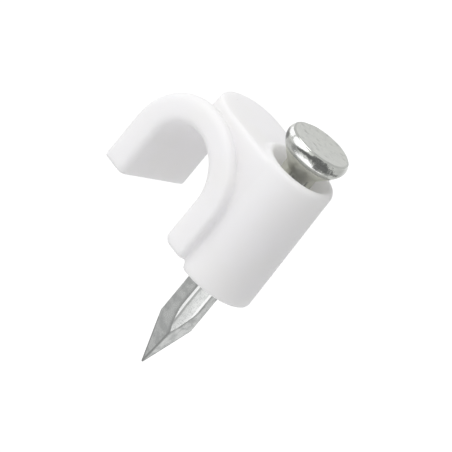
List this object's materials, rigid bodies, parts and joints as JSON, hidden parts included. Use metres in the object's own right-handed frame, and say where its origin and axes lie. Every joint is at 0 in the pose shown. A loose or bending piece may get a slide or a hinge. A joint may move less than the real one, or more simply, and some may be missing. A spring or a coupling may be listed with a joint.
{
  "type": "nail-in cable clip",
  "caption": "Hook of white plastic that straddles a round cable, with a boss beside it that holds a steel nail ready to be driven into a wall.",
  "frame": {"origin": "where the nail's axis meets the plane of the wall that the boss's foot sits on", "axes": "+Z out of the wall along the nail towards its head, +X from the hook to the boss, +Y along the cable"},
  "size_m": [0.0115, 0.0064, 0.0169],
  "materials": {
    "white_plastic": "satin",
    "zinc_steel": "bright zinc"
  },
  "bodies": {
    "root": {"clip_body": "white_plastic", "nail": "zinc_steel"}
  },
  "joints": []
}
